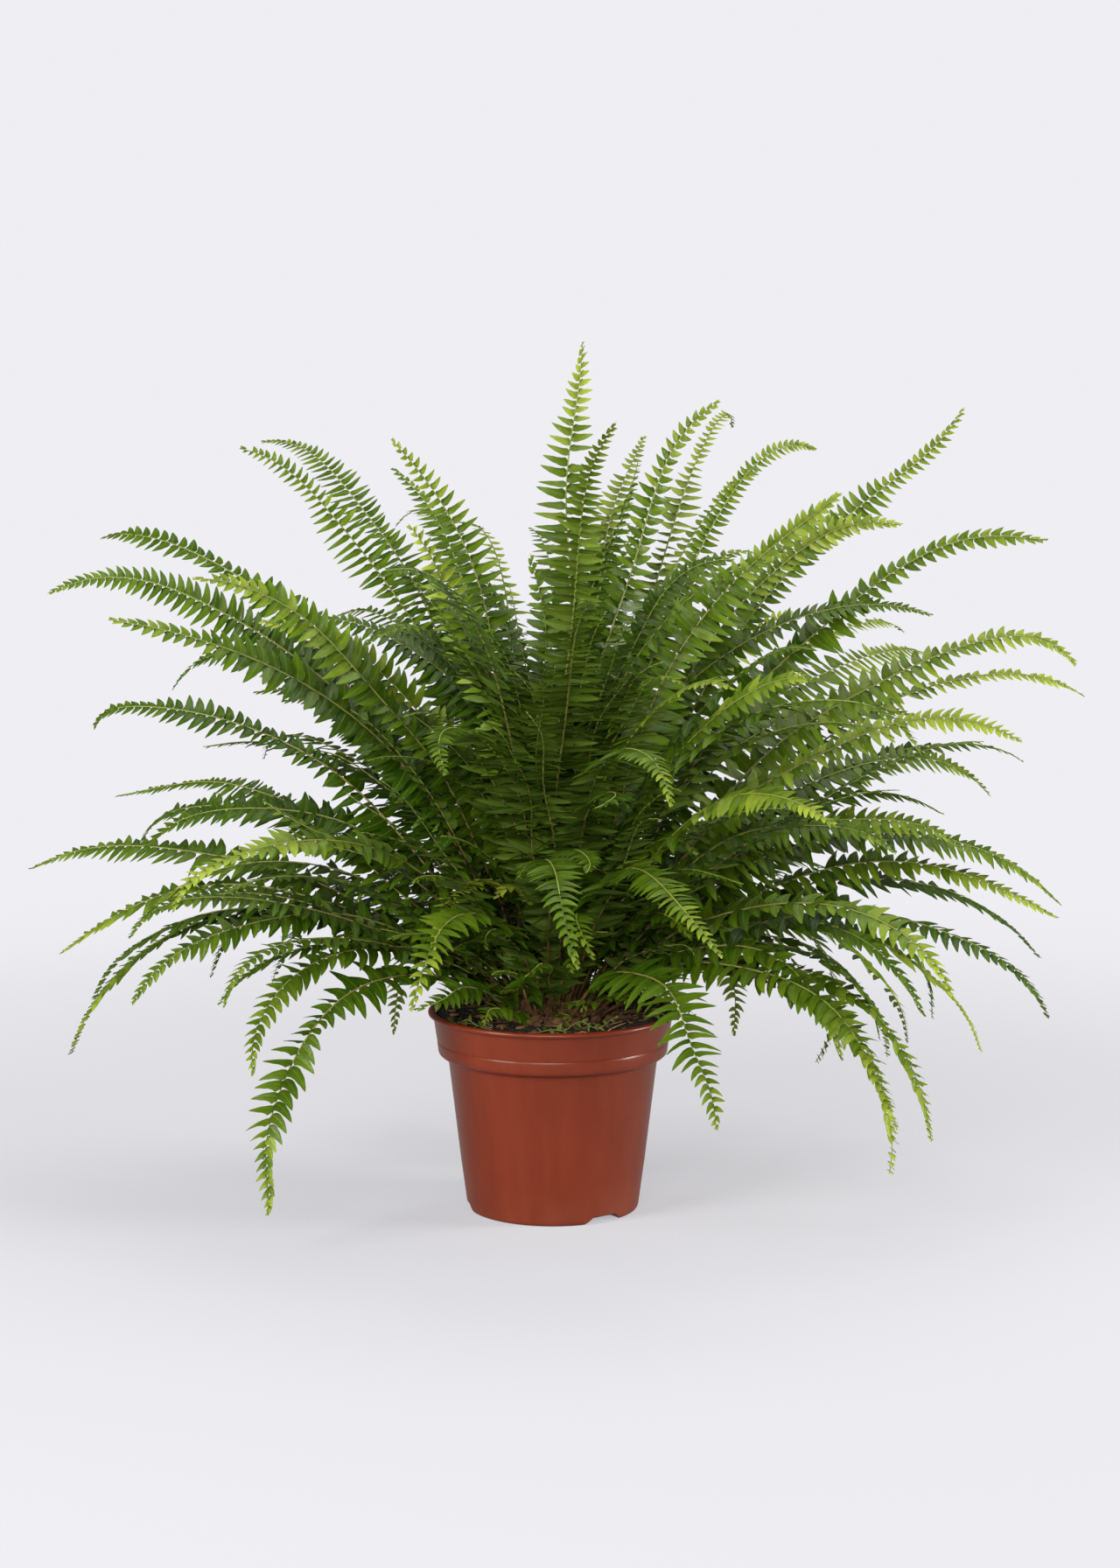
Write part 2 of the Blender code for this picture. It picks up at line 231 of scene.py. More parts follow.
leaflet = {
    "ear": 0.42,         # extra width of the ear on the side towards the frond's tip
    "sickle": 0.18,      # bend towards the frond's tip, as a share of the length
    "droop": 0.20,       # how far the point hangs, as a share of the length
    "arch": 0.26,        # how far the two edges fall below the midrib, of the width
    "thickness": 0.013,
    "scallop": 0.04,
    "steps": (0.0, 0.05, 0.13, 0.27, 0.43, 0.59, 0.75, 0.89, 1.0),
    "kinds": 7,
}


def leafletHalfWidth(share, towardsTip):
    # the outline, for a full width of about one
    base = mix(0.30, 0.5, ease(0.0, 0.13, share))
    taper = (1.0 - share ** 1.9) ** 0.80
    ear = leaflet["ear"] * math.exp(-((share - 0.12) / 0.10) ** 2) if towardsTip else 0.0
    return base * taper * (1.0 + ear)


def makeLeaflet(tipSide, kind):
    # A thin closed leaf one unit long and one wide: two skins that meet at a sharp edge.
    # tipSide is +1 or -1, the side of the leaflet that faces the frond's tip.
    rng = random.Random(kind * 7 + 3)
    droop = leaflet["droop"] * rng.uniform(0.2, 1.9)
    sickle = leaflet["sickle"] * rng.uniform(0.6, 1.5)
    twist = rng.uniform(-0.6, 0.6)
    steps = leaflet["steps"]
    bm = bmesh.new()
    bm.loops.layers.uv.new("leaf")
    last = len(steps) - 1
    bmesh.ops.create_grid(bm, x_segments=last, y_segments=2, size=0.5, calc_uvs=True)
    under = bm.faces.layers.float.new("under")
    places = {vert: (round((vert.co.x + 0.5) * last), round(vert.co.y * 2)) for vert in bm.verts}
    for vert, (column, row) in places.items():
        share = steps[column]
        width = leafletHalfWidth(share, row * tipSide > 0)
        width *= 1.0 + leaflet["scallop"] * (1 if column % 2 else -1)
        across = row * width
        fall = leaflet["arch"] * abs(across) + twist * share * across * 0.3
        vert.co = (
            share,
            across + sickle * tipSide * share * share * 3.0,
            -droop * share * share - fall * 0.3,
        )
    lower = bmesh.ops.duplicate(bm, geom=bm.faces[:] + bm.edges[:] + bm.verts[:])
    lowerFaces = [item for item in lower["geom"] if isinstance(item, bmesh.types.BMFace)]
    bmesh.ops.reverse_faces(bm, faces=lowerFaces)
    for face in lowerFaces:
        face[under] = 1.0
    for vert, (column, row) in places.items():
        if row == 0 and 0 < column < last:
            vert.co.z += leaflet["thickness"] / 2
            lower["vert_map"][vert].co.z -= leaflet["thickness"] / 2
    bmesh.ops.remove_doubles(bm, verts=bm.verts, dist=1e-5)
    bmesh.ops.dissolve_degenerate(bm, edges=bm.edges, dist=1e-6)
    for edge in bm.edges:
        sides = {face[under] for face in edge.link_faces}
        edge.smooth = len(sides) == 1
    for face in bm.faces:
        face.smooth = True
    return toMesh(f"leaflet_{kind}", bm)


leafletKinds = {
    side: [makeLeaflet(side, kind) for kind in range(leaflet["kinds"])] for side in (1, -1)
}


foliage = {
    # from old growth, a deep cool green, to young growth, a yellow green
    "greens": [
        (0.0, (0.019, 0.054, 0.0025)),
        (0.30, (0.040, 0.095, 0.004)),
        (0.62, (0.108, 0.192, 0.008)),
        (1.0, (0.400, 0.500, 0.050)),
    ],
    "underside": (0.125, 0.195, 0.020),
    "rib": (0.30, 0.36, 0.05),
    "lightThrough": (0.26, 0.42, 0.02),
    "translucent": 0.25,
    "sideVeins": 15.0,       # along one leaflet
    "stalkBrown": ((0.085, 0.040, 0.018), (0.20, 0.115, 0.045)),
    "stalkGreen": ((0.130, 0.175, 0.025), (0.25, 0.31, 0.055)),
}


def makeLeafMaterial():
    material, wires = newMaterial("fernLeaf", 0.46, 0.32)
    under = wires.onPoint("under")
    parts = wires.add("ShaderNodeSeparateXYZ")
    wires.feed(parts.inputs[0], wires.add("ShaderNodeUVMap", uv_map="leaf").outputs[0])
    along = parts.outputs[0]
    offMidrib = wires.calc("ABSOLUTE", wires.calc("SUBTRACT", parts.outputs[1], 0.5))
    mottle = wires.noise(wires.place(), 160.0, 4.0)

    ageing = wires.calc("ADD", wires.onPoint("age"), wires.times(mottle, 0.30, -0.15))
    spread = wires.times(wires.onPoint("tint"), 0.24, -0.12)
    ramp = wires.add("ShaderNodeValToRGB")
    wires.feed(ramp.inputs[0], wires.calc("ADD", ageing, spread, clamp=True))
    elements = ramp.color_ramp.elements
    while len(elements) < len(foliage["greens"]):
        elements.new(0.5)
    for element, (position, colour) in zip(elements, foliage["greens"]):
        element.position, element.color = position, (*colour, 1.0)
    green = ramp.outputs[0]
    green = wires.blend(under, green, wires.blend(0.45, green, foliage["underside"]))
    rib = wires.times(wires.calc("LESS_THAN", offMidrib, 0.035), 0.30)
    green = wires.blend(rib, green, foliage["rib"])
    # painted shade: each leaflet's colour is darkest where it joins the stalk, where the leaflets shade each
    # other, and is painted lighter towards its tip
    paintedShadeAlong, paintedShadeGrey = wires.times(along, 0.62, 0.62), wires.add("ShaderNodeCombineXYZ")
    for socket in paintedShadeGrey.inputs:
        wires.feed(socket, paintedShadeAlong)
    green = wires.blend(1.0, green, paintedShadeGrey.outputs[0], "MULTIPLY")
    wires.skin("Base Color", green)

    # side veins run forward from the midrib to the edge
    slant = wires.times(offMidrib, -9.0, wires.times(along, foliage["sideVeins"]))
    wave = wires.calc("SINE", wires.times(slant, math.tau))
    wires.bump(wires.times(wave, 0.16, wires.times(offMidrib, 3.0)), 0.5, 0.0006)
    wires.skin("Roughness", wires.times(mottle, 0.12, wires.times(under, 0.28, 0.18)))

    glow = wires.add("ShaderNodeBsdfTranslucent")
    wires.feed(glow.inputs["Color"], wires.blend(0.4, green, foliage["lightThrough"]))
    wires.twoShaders(foliage["translucent"], wires.nodes["Principled BSDF"], glow)
    return material


def makeStalkMaterial():
    material, wires = newMaterial("fernStalk", 0.5)
    grain = wires.noise(wires.place(), 900.0, 2.0)
    young = wires.times(wires.onPoint("age"), 2.2, -0.40, clamp=True)
    brown, green = (wires.blend(grain, *foliage[name]) for name in ("stalkBrown", "stalkGreen"))
    wires.skin("Base Color", wires.blend(young, brown, green))
    wires.bump(grain, 0.35, 0.0004)
    return material


leafMaterial = makeLeafMaterial()
stalkMaterial = makeStalkMaterial()
print("leaflets and their materials made")


frondLook = {
    "bareStalk": 0.07,       # share of the length before the first leaflets
    "spacing": 0.0088,       # between leaflets on one side, where the frond is widest
    "leastReach": 0.34,      # shortest low leaflets, as a share of the widest
    "bluntTip": 0.18,        # how much wider the last leaflets are than the plain taper
    "fill": 1.12,            # leaflet width as a share of the spacing
    "stalkRadius": 0.0014,
    "turnUp": 0.50,          # how far leaflets of a steep frond turn their faces to the sky
    "waver": 0.0035,         # sideways wandering of the stalk
    "slant": (93.0, 72.0),   # degrees between leaflet and stalk, at its foot and at its tip
    "unevenness": (8.0, 0.20, 0.52),    # of the leaflets: slant in degrees, lift, and roll
    "missing": 0.012,
    # fronds that differ from the rest: youth, width, leaflet spacing, and turn of the end
    "own": {
        "hanging_frond_01": (0.30, 1.15, 1.25, 20),
        "hanging_frond_02": (0.40, 1.00, 1.10, 20),
        "hanging_frond_08": (0.34, 1.40, 1.15, 0),
        "spreading_frond_02": (0.44, 0.90, 1.15, 20),
        "spreading_frond_12": (0.34, 1.05, 1.25, 20),
        "upright_frond_01": (0.34, 1.15, 1.15, 0),
        "upright_frond_06": (0.55, 0.90, 1.20, 34),
        "upright_frond_08": (0.46, 1.00, 1.25, 0),
        "upright_frond_13": (0.52, 0.95, 1.30, 30),
        "arching_frond_02": (0.16, 1.00, 1.45, 24),
        "arching_frond_04": (0.14, 1.05, 1.30, -6),
        "arching_frond_08": (0.30, 1.15, 1.35, 20),
        "arching_frond_12": (0.48, 0.95, 1.10, 10),
        "arching_frond_13": (0.50, 1.00, 1.10, 4),
        "arching_frond_15": (0.42, 1.10, 0.95, 20),
        "arching_frond_17": (0.14, 1.35, 1.00, 20),
        "upright_frond_12": (0.50, 0.80, 1.15, 62),
        "upright_frond_14": (0.40, 1.00, 1.10, 40),
        "arching_frond_06": (0.36, 0.95, 1.05, -34),
        "arching_frond_07": (0.40, 1.00, 1.10, -10),
    },
}


class Line:
    # A smooth line through the middle of a frond, with its side direction and half width.

    def __init__(self, middles, sides, halves):
        self.points, self.sides, self.halves, self.lengths = [], [], [], [0.0]
        finer = 8
        count = len(middles)
        for i in range((count - 1) * finer + 1):
            k, t = min(i // finer, count - 2), i / finer - min(i // finer, count - 2)
            a, b = middles[k], middles[k + 1]
            before = middles[k - 1] if k else a * 2 - b
            after = middles[k + 2] if k + 2 < count else b * 2 - a
            slopeA, slopeB = (b - before) / 2, (after - a) / 2
            tt, ttt = t * t, t * t * t
            point = a * (2 * ttt - 3 * tt + 1) + slopeA * (ttt - 2 * tt + t)
            point += b * (3 * tt - 2 * ttt) + slopeB * (ttt - tt)
            self.points.append(point)
            self.sides.append(mix(sides[k], sides[k + 1], t).normalized())
            self.halves.append(mix(halves[k], halves[k + 1], t))
        for a, b in zip(self.points, self.points[1:]):
            self.lengths.append(self.lengths[-1] + (b - a).length)
        self.total = self.lengths[-1]
        self.widest = max(self.halves)

    def waver(self, rng, amount):
        # lets the stalk wander a little sideways, as a grown one does
        phase, turns = rng.uniform(0, math.tau), rng.uniform(1.3, 2.6)
        hook = rng.uniform(-1.0, 1.0) * amount * 3.0
        for i, point in enumerate(self.points):
            share = i / (len(self.points) - 1)
            swing = math.sin(phase + share * turns * math.tau) - math.sin(phase)
            point += self.sides[i] * (amount * swing * ease(0.1, 0.5, share) + hook * share ** 6)

    def curl(self, rng, down):
        # bends the last part down by some degrees, and a little aside
        count = len(self.points)
        start = int(count * rng.uniform(0.78, 0.90))
        moves = [self.points[k] - self.points[k - 1] for k in range(start, count)]
        down = math.radians(down)
        aside = math.radians(rng.uniform(-40, 40))
        for j, move in enumerate(moves):
            share = ((j + 1) / len(moves)) ** 1.4
            level = move.cross(worldUp).normalized()
            turn = Matrix.Rotation(-down * share, 3, level)
            turn = turn @ Matrix.Rotation(aside * share, 3, worldUp)
            self.points[start + j] = self.points[start + j - 1] + turn @ move
            self.sides[start + j] = turn @ self.sides[start + j]

    def at(self, distance):
        low, high = 0, len(self.lengths) - 1
        while high - low > 1:
            middle = (low + high) // 2
            if self.lengths[middle] <= distance:
                low = middle
            else:
                high = middle
        span = self.lengths[high] - self.lengths[low]
        t = (distance - self.lengths[low]) / span
        along = (self.points[high] - self.points[low]).normalized()
        side = mix(self.sides[low], self.sides[high], t)
        point = mix(self.points[low], self.points[high], t)
        return point, along, squared(side, along), mix(self.halves[low], self.halves[high], t)


def readFrond(node):
    # Finds the four-cornered sections of a CAD frond again, from the crown to its tip.
    bm = bmesh.new()
    bm.from_mesh(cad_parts[node].data)
    bmesh.ops.remove_doubles(bm, verts=bm.verts, dist=1e-6)
    bm.verts.index_update()
    ring = sorted(bm.verts, key=lambda vert: (vert.co - crownFoot).length)[:4]
    seen, rings = set(ring), [ring]
    while True:
        reached = {edge.other_vert(vert) for vert in ring for edge in vert.link_edges} - seen
        if not reached:
            break
        ring = sorted(reached, key=lambda vert: vert.index)  # the same order on every run
        seen |= reached
        rings.append(ring)
    middles, pairs = [], []
    for ring in rings:
        corners = [vert.co.copy() for vert in ring]
        middle = sum(corners, Vector()) / len(corners)
        opposite = max(corners[1:], key=lambda co: (co - corners[0]).length)
        others = [co for co in corners[1:] if co is not opposite]
        middles.append(middle)
        pairs.append([corners[0] - opposite, others[0] - others[-1]])
    bm.free()
    return middles, pairs


def followSides(pairs):
    # The blade's edges are the wider pair of corners, and near the crown the pair that lines up.
    start = max(range(len(pairs)), key=lambda k: max(p.length for p in pairs[k]))
    sides = [None] * len(pairs)
    sides[start] = max(pairs[start], key=lambda p: p.length)
    for order in (range(start + 1, len(pairs)), range(start - 1, -1, -1)):
        last = sides[start]
        for k in order:
            best = max(pairs[k], key=lambda p: abs(p.normalized().dot(last.normalized())))
            sides[k] = best if best.dot(last) > 0 else -best
            last = sides[k]
    return [side.normalized() for side in sides], [side.length / 2 for side in sides]


def upperSide(line):
    # +1 or -1: the face that looks up, or to the front on a frond that stands upright
    scores = []
    for k in range(8, 15):
        point, along, side, half = line.at(line.total * k / 15)
        face = along.cross(side)
        scores.append(face.z - 0.35 * face.y)
    return 1.0 if sum(scores) > 0 else -1.0


def addStalk(bm, line, look, values):
    knots = [line.total * (k / 30) ** 0.9 for k in range(30)] + [line.total * 0.999]
    radius = frondLook["stalkRadius"] * look["size"]
    radii = [radius * (1.0 - 0.72 * distance / line.total) for distance in knots]
    added = addTube(bm, [line.at(distance)[0] for distance in knots], radii)
    before = len(values["age"])
    values["stalks"].append((before, before + added))
    values["age"] += [look["young"] * 0.4 + 0.7 * (k / added) for k in range(added)]
    values["tint"] += [0.5] * added


def addFrond(piece, line, rng, look, values):
    # Adds one frond to a piece's bmesh: its stalk and two rows of leaflets.
    # look has the youth of its base and tip, and values collects the age and tint of each point.
    bm = bmesh.new()
    line.waver(rng, frondLook["waver"])
    end = line.at(line.total * 0.85)[1].z
    free = (1.0 - ease(0.2, 0.9, -end)) * (1.0 - 0.75 * ease(0.75, 0.96, end))
    line.curl(rng, look.get("bend", mix(-16, 52, rng.random()) * free))
    upper = upperSide(line)
    addStalk(bm, line, look, values)

    lift = rng.uniform(-0.04, 0.16)
    turnUp = frondLook["turnUp"] * rng.uniform(0.6, 1.35)
    unevenSlant, unevenLift, unevenRoll = frondLook["unevenness"]
    distance, hand = line.total * look["bare"], -1.0
    while distance < line.total * 0.996:
        share = distance / line.total
        point, along, side, half = line.at(distance)
        blunt = half * (1.0 + frondLook["bluntTip"] * ease(0.55, 1.0, share))
        reach = max(blunt, line.widest * frondLook["leastReach"] * ease(0.0, 0.16, share))
        reach = max(reach * min(1.0, 9.0 * (1.0 - share) + 0.25), 0.0022)
        near = (0.62 + 0.38 * min(1.0, reach / line.widest)) * look["spacing"]
        # leaflets are most uneven low on the stalk and lie flat towards the tip
        play = 1.0 - 0.80 * ease(0.55, 0.90, share) + 0.9 * (1.0 - ease(0.10, 0.60, share))
        face = along.cross(side) * upper
        slant = mix(*frondLook["slant"], share ** 2.2) + play * rng.uniform(-unevenSlant, unevenSlant)
        slant = math.radians(slant)
        axis = side * hand * math.sin(slant) + along * math.cos(slant)
        axis += face * (lift + play * rng.uniform(-unevenLift, unevenLift))
        axis = (axis.normalized() - worldUp * 0.06).normalized()
        top = face * (1.0 - turnUp) + worldUp * turnUp
        if (top - axis * top.dot(axis)).length < 0.15:
            top = face
        top = squared(top, axis)
        top = squared(top + top.cross(axis) * play * rng.uniform(-unevenRoll, unevenRoll), axis)
        across = top.cross(axis)
        if rng.random() > frondLook["missing"]:
            length = reach * rng.uniform(0.93, 1.07)
            width = near * look.get("fill", frondLook["fill"])
            width *= mix(0.78, 1.0, min(play, 1.0)) * rng.uniform(0.92, 1.08)
            shape = rng.choice(leafletKinds[1 if across.dot(along) > 0 else -1])
            matrix = Matrix((axis * length, across * width, top * length)).transposed().to_4x4()
            matrix.translation = point
            count = addCopy(bm, shape, matrix)
            age = look["young"] + look["tip"] * share ** 2.4 + rng.uniform(-0.05, 0.05)
            values["age"] += [age] * count
            values["tint"] += [rng.random()] * count
        distance += near / 2
        hand = -hand
    pour(piece, toMesh("frond", bm))


def noValues():
    return {"age": [], "tint": [], "stalks": []}


def finishFronds(name, bm, values, replaced=()):
    bm.verts.index_update()
    stalk = {k for first, last in values["stalks"] for k in range(first, last)}
    for face in bm.faces:
        face.material_index = int(face.verts[0].index in stalk)
    materials = [leafMaterial, stalkMaterial]
    newPiece(name, bm, materials, "fronds", replaced, age=values["age"], tint=values["tint"])


def dressFrond(node, number):
    rng = random.Random(number * 13 + 5)
    middles, pairs = readFrond(node)
    line = Line(middles, *followSides(pairs))
    tip = middles[-1]
    # painted light: fronds whose tips lie to the right and higher up get a lighter, yellower green, where
    # the right and top lamps fall on them; the random part is the frond's age
    ageAndPaintedLight = 0.16 + 0.18 * rng.random() + 0.22 * ease(-0.1, 0.45, tip.x) + 0.05 * ease(0.35, 0.7, tip.z)
    own = frondLook["own"].get(node, (ageAndPaintedLight, 1.0, rng.uniform(0.90, 1.35)))
    line.halves = [half * own[1] for half in line.halves]
    line.widest *= own[1]
    look = {
        "size": min(1.0, 0.5 + line.total),
        "young": own[0],
        "tip": rng.uniform(0.35, 0.65),
        "spacing": frondLook["spacing"] * own[2],
        "bare": frondLook["bareStalk"] * rng.uniform(0.8, 1.6),
    }
    if len(own) > 3:
        look["bend"] = own[3]
    bm, values = bmesh.new(), noValues()
    addFrond(bm, line, rng, look, values)
    finishFronds(node + "_leaflets", bm, values, [node])


frondNodes = sorted(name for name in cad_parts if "_frond_" in name)
for number, node in enumerate(frondNodes):
    dressFrond(node, number)
print("fronds dressed:", len(frondNodes))


# the crowd of shorter fronds that fills the middle of the plant
infill = {
    "droop": 1.6,
    "bladeWidth": 0.060,
    "grownLength": 0.44,
    "stalk": 0.0014,
    "count": 106,
    "skirt": 48,
    "perPiece": 26,
    # tips seen between the tall fronds: heading, reach and height in metres, rise at the
    # crown, roll of the blade, youth
    "tips": [
        (172, 0.356, 0.290, 58, -25, 0.20),
        (144, 0.430, 0.445, 62, -35, 0.20),
        (185, 0.245, 0.500, 80, -55, 0.50),
        (135, 0.210, 0.610, 82, -30, 0.25),
        (37, 0.465, 0.420, 60, 30, 0.45),
        (28, 0.260, 0.090, 42, 15, 0.45),
        (262, 0.130, 0.470, 82, -5, 0.15),
        (63, 0.170, 0.650, 84, 12, 0.55),
        (20, 0.236, 0.500, 78, 60, 0.60),
        (248, 0.120, 0.290, 78, -20, 0.85),
        (236, 0.150, 0.330, 74, -30, 0.20),
        (280, 0.200, 0.250, 62, 5, 0.25),
        (318, 0.160, 0.330, 74, 34, 0.20),
        (222, 0.120, 0.240, 60, -15, 0.15),
        (318, 0.170, 0.260, 62, 20, 0.20),
        (206, 0.150, 0.240, 58, -30, 0.20),
        (338, 0.190, 0.225, 56, 34, 0.25),
        (195, 0.200, 0.235, 46, -20, 0.20),
        (350, 0.220, 0.240, 44, 20, 0.30),
        (223, 0.137, 0.160, 84, -5, 0.85),
        (12, 0.400, 0.345, 56, 30, 0.40),
        (352, 0.350, 0.315, 54, 35, 0.45),
        (26, 0.340, 0.410, 66, 40, 0.45),
        (336, 0.300, 0.320, 60, 35, 0.35),
        (2, 0.430, 0.250, 48, 20, 0.40),
        (348, 0.310, 0.170, 42, 18, 0.30),
        (332, 0.260, 0.150, 42, 22, 0.35),
        (18, 0.350, 0.130, 40, 16, 0.30),
        (70, 0.150, 0.600, 84, 10, 0.50),
        (40, 0.200, 0.570, 80, 40, 0.50),
    ],
}


def heads(turn, rise):
    return Vector((math.cos(rise) * math.cos(turn), math.cos(rise) * math.sin(turn), math.sin(rise)))


def tipDirection(rise, arch, droop):
    # the way from a frond's foot to its tip, for a frond one unit long
    flat = height = 0.0
    steps = 24
    for k in range(steps):
        elevation = math.radians(rise - arch * ((k + 0.5) / steps) ** droop)
        flat += math.cos(elevation) / steps
        height += math.sin(elevation) / steps
    return flat, height


def growLine(heading, reach, height, rise, roll, sway, droop):
    # a frond that leaves the crown at a given rise and brings its tip to a given place
    turn = math.radians(heading)
    foot = crownSurface(turn, math.radians(rise))
    wantFlat, wantHeight = reach - foot.to_2d().length, height - foot.z
    low, high = -20.0, 190.0
    for _ in range(30):
        arch = (low + high) / 2
        flat, up = tipDirection(rise, arch, droop)
        if math.atan2(up, flat) > math.atan2(wantHeight, wantFlat):
            low = arch
        else:
            high = arch
    length = math.hypot(wantFlat, wantHeight) / math.hypot(flat, up)
    grown = min(1.0, 0.35 + 0.65 * length / infill["grownLength"])
    middles, sides, halves = [], [], []
    place, sections, steps = foot.copy(), 15, 56
    for step in range(steps + 1):
        share = step / steps
        elevation = math.radians(rise - arch * share ** droop)
        yaw = turn + math.radians(sway) * (share ** 1.5 - 0.4 * share)
        along = heads(yaw, elevation)
        if step % (steps // (sections - 1)) == 0:
            level = Vector((-math.sin(yaw), math.cos(yaw), 0.0))
            upper = along.cross(level)
            lean = math.radians(roll) * ease(0.0, 0.4, share)
            sides.append(level * math.cos(lean) + upper * math.sin(lean))
            middles.append(place.copy())
            blade = infill["bladeWidth"] / 2 * grown * ease(0.03, 0.34, share) * (1.0 - share ** 4)
            halves.append(max(blade, infill["stalk"]))
        place += along * (length / steps)
    return Line(middles, sides, halves)


def crownSurface(turn, rise):
    # the point of the crown's dome that faces a direction
    radius, height = crownHigh.x, crownHigh.z - crownLow.z
    across, upward = radius * math.cos(rise), height * math.sin(rise)
    scale = math.hypot(across, upward)
    flat = 0.9 * radius * across / scale
    up = 0.9 * height * upward / scale
    return Vector((flat * math.cos(turn), flat * math.sin(turn), crownLow.z + up))


def infillRows():
    rng = random.Random(41)
    rows = list(infill["tips"])
    for k in range(infill["count"]):
        heading = (k * 137.5 + rng.uniform(-9, 9)) % 360
        lift = (k * 7 % infill["count"] + 0.5) / infill["count"]
        # the front stays clear of the pot
        front = ease(0.25, 0.75, -math.sin(math.radians(heading)))
        elevation = math.radians(mix(mix(-12.0, 24.0, front), 82.0, lift ** 1.1))
        farthest = 0.435 + 0.04 * math.cos(math.radians(heading))
        distance = mix(0.20, farthest, rng.random() ** 0.8)
        reach = max(0.03, distance * math.cos(elevation))
        height = crownLow.z + 0.02 + distance * math.sin(elevation)
        rise = min(88.0, max(36.0, math.degrees(elevation) + rng.uniform(12, 40)))
        roll = 55.0 * math.cos(math.radians(heading)) * rng.uniform(-0.2, 1.0) * lift
        rows.append((heading, reach, height, rise, roll, rng.uniform(0.05, 0.35)))
    return rows


def skirtRows():
    # short leaves that stand and lie round the foot of the plant and hide the crown
    rng = random.Random(19)
    rows = []
    for k in range(infill["skirt"]):
        heading = (k * 137.5 + 60) % 360
        elevation = math.radians(rng.uniform(4, 62))
        distance = rng.uniform(0.09, 0.21)
        reach = 0.035 + distance * math.cos(elevation)
        height = crownLow.z + 0.018 + distance * math.sin(elevation)
        rise = math.degrees(elevation) + rng.uniform(10, 30)
        rows.append((heading, reach, height, rise, rng.uniform(-35, 35), rng.uniform(0.05, 0.5)))
    return rows


def growInfill():
    rows = infillRows() + skirtRows()
    for first in range(0, len(rows), infill["perPiece"]):
        bm, values = bmesh.new(), noValues()
        for number, row in enumerate(rows[first:first + infill["perPiece"]], start=first):
            rng = random.Random(900 + number)
            line = growLine(*row[:5], rng.uniform(-14, 14), infill["droop"])
            look = {
                "size": 0.85,
                "young": row[5],
                "tip": rng.uniform(0.25, 0.5),
                "spacing": frondLook["spacing"] * rng.uniform(0.9, 1.25),
                "bare": rng.uniform(0.05, 0.12),
            }
            addFrond(bm, line, rng, look, values)
        finishFronds(f"inner_fronds_{first // infill['perPiece'] + 1}", bm, values)
    return len(rows)


print("inner fronds:", growInfill())


pot = {
    "segments": 192,
    "wall": 0.0015,
    "floor": 0.0020,
    "lip": 0.0045,           # how far the lip stands out
    "collar": 0.036,         # from the top to the step
    "grooveAt": 0.0255,      # below the top
    "grooveDepth": 0.0006,
    "step": 0.0085,
    "baseRadius": 0.0725,
    "notchAngles": (-53.0, 67.0, 187.0),
    "notchWidth": 0.038,
    "notchRoof": 0.022,
    "notchHeight": 0.0065,
    "notchDepth": 0.018,
    "drainHole": 0.0045,
    "plastic": ((0.116, 0.0130, 0.0029), (0.156, 0.0181, 0.0042)),
    "streak": (0.28, 0.050, 0.016),
    "dust": (0.42, 0.17, 0.10),
}


def potOutline():
    # from the middle of the top, over the rolled lip and down the outside to the middle
    top, rim = potHigh.z, potHigh.x
    neck = rim - pot["lip"]
    foot = neck - 0.004
    groove = top - pot["grooveAt"]
    ledge = top - pot["collar"]
    wall = foot - pot["step"]
    base = pot["baseRadius"]
    slope = (neck - foot) / pot["collar"]
    atGroove = neck - slope * pot["grooveAt"]
    inGroove = atGroove - pot["grooveDepth"]
    return [
        (0.0, top - 0.0005), (rim - 0.0050, top - 0.0005), (rim - 0.0038, top - 0.0001),
        (rim - 0.0022, top), (rim - 0.0010, top - 0.0004), (rim - 0.0002, top - 0.0013), (rim, top - 0.0022),
        (rim - 0.0003, top - 0.0033), (rim - 0.0012, top - 0.0041), (rim - 0.0026, top - 0.0044),
        (neck + 0.0008, top - 0.0046), (neck + 0.0001, top - 0.0053), (neck - 0.0001, top - 0.0064),
        (atGroove + 0.0001, groove + 0.0012), (atGroove, groove + 0.0006),
        (inGroove, groove + 0.0001), (inGroove, groove - 0.0003),
        (atGroove - 0.0004, groove - 0.0009), (atGroove - 0.0003, groove - 0.0020),
        (foot + 0.0001, ledge + 0.0022), (foot - 0.0001, ledge + 0.0008),
        (foot - 0.0007, ledge - 0.0004), (foot - 0.0018, ledge - 0.0014),
        (foot - 0.0034, ledge - 0.0023), (foot - 0.0056, ledge - 0.0032),
        (wall + 0.0011, ledge - 0.0040), (wall + 0.0003, ledge - 0.0049), (wall, ledge - 0.0062),
        (mix(wall, base, 0.33), mix(ledge, 0.0, 0.36)), (mix(wall, base, 0.66), mix(ledge, 0.0, 0.68)),
        (base, 0.0040), (base - 0.0004, 0.0020), (base - 0.0014, 0.0006), (base - 0.0028, 0.0),
        (0.0, 0.0),
    ]


def potCavity():
    top, rim = potHigh.z, potHigh.x
    neck = rim - pot["lip"] - pot["wall"]
    foot = neck - 0.004
    ledge = top - pot["collar"]
    wall = foot - pot["step"]
    base = pot["baseRadius"] - pot["wall"]
    return [
        (0.0, top + 0.006), (neck + 0.0012, top + 0.006), (neck + 0.0009, top - 0.0004),
        (neck + 0.0003, top - 0.0012),
        (neck, top - 0.0030), (foot, ledge), (wall + 0.002, ledge - 0.0030), (wall, ledge - 0.0060),
        (base, 0.0055), (base - 0.0020, pot["floor"]), (0.0, pot["floor"]),
    ]


